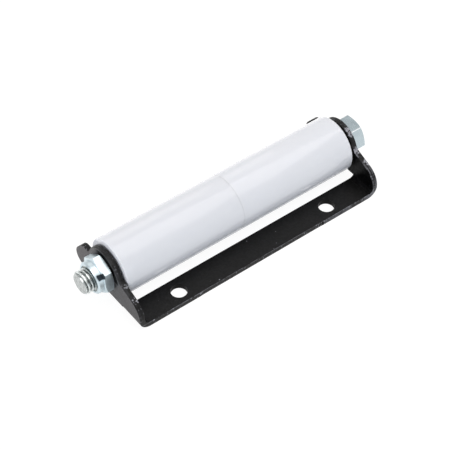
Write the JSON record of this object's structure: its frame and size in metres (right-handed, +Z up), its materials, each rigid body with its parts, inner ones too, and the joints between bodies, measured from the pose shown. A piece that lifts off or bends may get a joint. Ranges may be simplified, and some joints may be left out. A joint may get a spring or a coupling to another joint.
{
  "type": "slide-out roller",
  "caption": "Folded steel bracket with a strip base and two ears, carrying white plastic half rollers on a zinc plated hex bolt held by a nylon insert lock nut.",
  "frame": {"origin": "on the mounting face under the strip, midway between the two mounting holes", "axes": "+X along the bolt towards its head, +Y from the front edge of the strip towards the rollers, +Z up out of the mounting face"},
  "size_m": [0.1761, 0.0558, 0.033],
  "materials": {
    "black_steel": "satin black paint",
    "zinc_steel": "bright zinc plating",
    "nylon": "matte",
    "white_plastic": "smooth satin"
  },
  "bodies": {
    "frame_body": {"bracket": "black_steel", "axle_bolt": "zinc_steel", "lock_nut": "zinc_steel", "nut_insert": "nylon"},
    "left_roller_body": {"roller_left": "white_plastic"},
    "right_roller_body": {"roller_right": "white_plastic"}
  },
  "joints": [
    {"name": "roller_left_spin", "type": "hinge", "parent": "frame_body", "child": "left_roller_body", "pos_m": [-0.036, 0.023, 0.0173], "axis": [1, 0, 0], "continuous": true},
    {"name": "roller_right_spin", "type": "hinge", "parent": "frame_body", "child": "right_roller_body", "pos_m": [0.036, 0.023, 0.0173], "axis": [1, 0, 0], "continuous": true}
  ]
}
